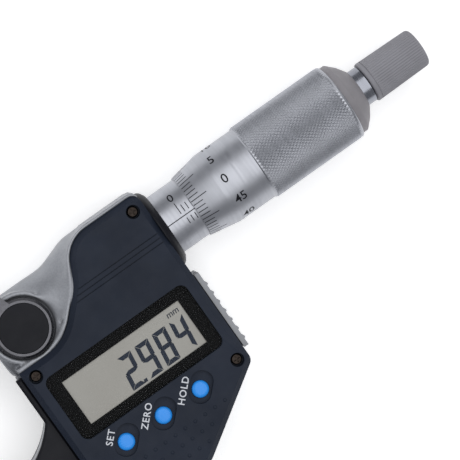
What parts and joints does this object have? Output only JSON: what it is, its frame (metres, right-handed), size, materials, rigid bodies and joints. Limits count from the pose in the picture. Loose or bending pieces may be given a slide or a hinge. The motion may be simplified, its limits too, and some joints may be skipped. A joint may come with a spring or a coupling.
{
  "type": "outside micrometer",
  "caption": "Outside micrometer with a digital display, fine measuring screw, thimble, ratchet stop and spindle clamp.",
  "frame": {"origin": "centre of the anvil's measuring face, on the spindle axis", "axes": "+X along the spindle from the anvil towards the ratchet, +Y up when the display is read, +Z out of the display; the micrometer lies on its rear cover"},
  "size_m": [0.1562, 0.0587, 0.0199],
  "materials": {
    "cast_frame": "baked satin enamel",
    "satin_chrome": "satin chrome plated",
    "ground_steel": "ground and lapped",
    "carbide": "lapped carbide",
    "bright_chrome": "polished chrome",
    "dark_chrome": "black chrome",
    "brass_part": "turned",
    "dark_cover": "fine texture",
    "cover_blue_grey": "fine texture",
    "light_plastic": "satin moulded",
    "knob_plastic": "satin ribbed",
    "button_blue": "satin",
    "window_glass": "clear",
    "mask_black": "printed film",
    "lcd_glass": "reflective liquid crystal",
    "board_green": "solder mask",
    "chip_black": "moulded epoxy",
    "seal_rubber": "matt",
    "keypad_rubber": "silicone",
    "screw_bronze": "dark bronze",
    "spring_steel": "bright wire",
    "cell_steel": "nickel plated"
  },
  "bodies": {
    "frame": {"frame": "cast_frame", "bow_cover_front": "dark_cover", "bow_cover_rear": "dark_cover", "anvil": "ground_steel", "anvil_tip": "carbide", "spindle_bush": "ground_steel", "wiper_seal": "seal_rubber", "encoder_stator": "board_green", "rotor_spring": "spring_steel", "inner_sleeve": "ground_steel", "stem_holder": "ground_steel", "sleeve_collar": "dark_cover", "adjusting_nut": "ground_steel", "display_cover": "cover_blue_grey", "cover_gasket": "seal_rubber", "rear_gasket": "seal_rubber", "display_window": "window_glass", "window_mask": "mask_black", "lcd_panel": "lcd_glass", "lcd_holder": "light_plastic", "lcd_connector_strip": "seal_rubber", "circuit_board": "board_green", "display_chip": "chip_black", "board_screws": "spring_steel", "keypad_membrane": "keypad_rubber", "cover_screws": "screw_bronze", "rear_cover_screws": "screw_bronze", "rear_cover": "cover_blue_grey", "battery": "cell_steel", "battery_holder": "light_plastic", "battery_contact": "spring_steel", "data_connector": "chip_black", "port_gasket": "seal_rubber", "data_port_cover": "light_plastic", "data_port_screws": "spring_steel"},
    "sleeve": {"outer_sleeve": "satin_chrome"},
    "rotor": {"encoder_rotor": "board_green", "rotor_bush": "brass_part", "rotor_key": "ground_steel"},
    "spindle": {"spindle": "ground_steel", "spindle_tip": "carbide", "thimble": "satin_chrome", "thimble_seal": "seal_rubber", "thimble_cap": "light_plastic", "ratchet_body": "bright_chrome", "ratchet_screw": "ground_steel"},
    "ratchet": {"ratchet_knob": "knob_plastic", "ratchet_drive_disc": "ground_steel", "ratchet_spring": "spring_steel"},
    "clamp_lever": {"clamp_lever": "dark_chrome", "clamp_cap": "dark_cover", "clamp_screw": "ground_steel"},
    "clamp_plug": {"clamp_plug": "brass_part"},
    "button_set": {"button_set": "button_blue"},
    "button_zero": {"button_zero": "button_blue"},
    "button_hold": {"button_hold": "button_blue"},
    "battery_cap": {"battery_cap": "dark_cover", "battery_cap_seal": "seal_rubber"}
  },
  "joints": [
    {"name": "thimble_turn", "type": "hinge", "parent": "frame", "child": "rotor", "pos_m": [0.055, 0, 0], "axis": [1, 0, 0], "range_deg": [-2148.48, 15851.52]},
    {"name": "spindle_feed", "type": "slide", "parent": "rotor", "child": "spindle", "axis": [1, 0, 0], "range_m": [-0.00298, 0.02202]},
    {"name": "ratchet_turn", "type": "hinge", "parent": "spindle", "child": "ratchet", "pos_m": [0.13, 0, 0], "axis": [1, 0, 0], "continuous": true},
    {"name": "sleeve_zero_turn", "type": "hinge", "parent": "frame", "child": "sleeve", "pos_m": [0.08, 0, 0], "axis": [1, 0, 0], "range_deg": [-10, 10]},
    {"name": "clamp_lever_turn", "type": "hinge", "parent": "frame", "child": "clamp_lever", "pos_m": [0.0357, 0, 0.008], "axis": [0, 0, -1], "range_deg": [0, 60]},
    {"name": "clamp_plug_press", "type": "slide", "parent": "frame", "child": "clamp_plug", "axis": [0, 0, -1], "range_m": [0, 0.0001001]},
    {"name": "button_set", "type": "slide", "parent": "frame", "child": "button_set", "axis": [0, 0, -1], "range_m": [0, 0.0003], "stiffness_N_per_m": 4000},
    {"name": "button_zero", "type": "slide", "parent": "frame", "child": "button_zero", "axis": [0, 0, -1], "range_m": [0, 0.0003], "stiffness_N_per_m": 4000},
    {"name": "button_hold", "type": "slide", "parent": "frame", "child": "button_hold", "axis": [0, 0, -1], "range_m": [0, 0.0003], "stiffness_N_per_m": 4000},
    {"name": "battery_cap_out", "type": "slide", "parent": "frame", "child": "battery_cap", "axis": [0, 0, -1], "range_m": [0, 0.008]}
  ],
  "couplings": [
    {"joint": "spindle_feed", "follows": "thimble_turn", "m_per_rad": 0.000079577},
    {"joint": "clamp_plug_press", "follows": "clamp_lever_turn", "m_per_rad": 0.000095493}
  ]
}
